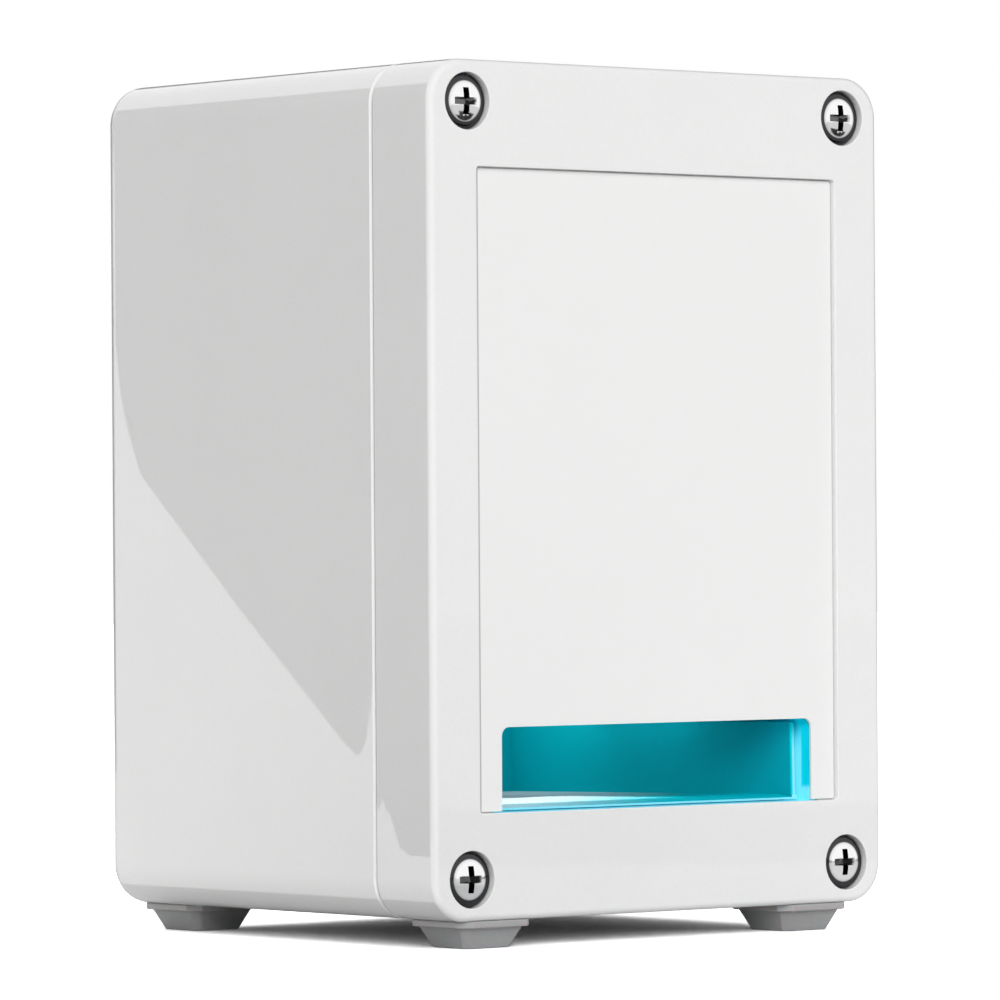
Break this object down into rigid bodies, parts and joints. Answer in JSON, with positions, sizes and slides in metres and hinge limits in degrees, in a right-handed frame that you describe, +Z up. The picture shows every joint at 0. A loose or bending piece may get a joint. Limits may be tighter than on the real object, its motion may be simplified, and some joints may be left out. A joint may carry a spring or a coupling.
{
  "type": "rapid test reader",
  "caption": "Upright bench reader for lateral flow test cassettes: moulded grey case with a screwed front lid, a teal bay with a slide-out cassette tray, and rubber feet.",
  "frame": {"origin": "on the surface that the reader stands on, under the middle of the case", "axes": "+Z up, -Y out of the front with the window, +X to the right of someone who looks at the front"},
  "size_m": [0.084, 0.0764, 0.124],
  "materials": {
    "case_plastic": "light grey moulded ABS, satin gloss",
    "label_film": "light grey film, silk matt",
    "teal_plastic": "teal moulded ABS, glossy",
    "foot_rubber": "mid grey elastomer, matt",
    "seal_rubber": "dark grey sealing cord",
    "bright_screw": "bright plated steel",
    "plain_screw": "zinc plated steel",
    "spring_steel": "bright rolled steel",
    "insert_brass": "turned brass",
    "black_plastic": "black, fine texture",
    "runner_nylon": "natural nylon",
    "circuit_board": "green solder mask",
    "opal_plastic": "opal acrylic, frosted",
    "white_tile": "dead white reference surface",
    "ribbon_film": "amber flat cable",
    "lens_glass": "coated lens"
  },
  "bodies": {
    "case": {"body_shell": "case_plastic", "front_lid": "case_plastic", "lid_gasket": "seal_rubber", "lid_screw_1": "bright_screw", "lid_screw_2": "bright_screw", "lid_screw_3": "bright_screw", "lid_screw_4": "bright_screw", "lid_insert_1": "insert_brass", "lid_insert_2": "insert_brass", "lid_insert_3": "insert_brass", "lid_insert_4": "insert_brass", "front_label": "label_film", "foot_1": "foot_rubber", "foot_2": "foot_rubber", "foot_3": "foot_rubber", "foot_4": "foot_rubber", "bay_housing": "teal_plastic", "bay_screw_1": "plain_screw", "bay_screw_2": "plain_screw", "bay_screw_3": "plain_screw", "bay_screw_4": "plain_screw", "tray_runner_left": "runner_nylon", "tray_runner_right": "runner_nylon", "catch_magnet": "spring_steel", "tray_sensor": "black_plastic", "light_hood": "black_plastic", "hood_screw_1": "plain_screw", "hood_screw_2": "plain_screw", "hood_screw_3": "plain_screw", "hood_screw_4": "plain_screw", "led_board_left": "circuit_board", "led_board_right": "circuit_board", "diffuser_left": "opal_plastic", "diffuser_right": "opal_plastic", "camera_board": "circuit_board", "camera_screw_1": "plain_screw", "camera_screw_2": "plain_screw", "camera_screw_3": "plain_screw", "camera_screw_4": "plain_screw", "lens_holder": "black_plastic", "lens_barrel": "black_plastic", "lens_glass": "lens_glass", "main_board": "circuit_board", "board_screw_1": "plain_screw", "board_screw_2": "plain_screw", "board_screw_3": "plain_screw", "board_screw_4": "plain_screw", "processor": "black_plastic", "camera_connector": "runner_nylon", "usb_socket": "spring_steel", "camera_ribbon": "ribbon_film"},
    "tray": {"cassette_tray": "teal_plastic", "reference_tile": "white_tile", "strike_plate": "spring_steel", "cassette_clip": "spring_steel"}
  },
  "joints": [
    {"name": "tray_slide", "type": "slide", "parent": "case", "child": "tray", "axis": [0, -0.9998, 0.0175], "range_m": [0, 0.05]}
  ]
}
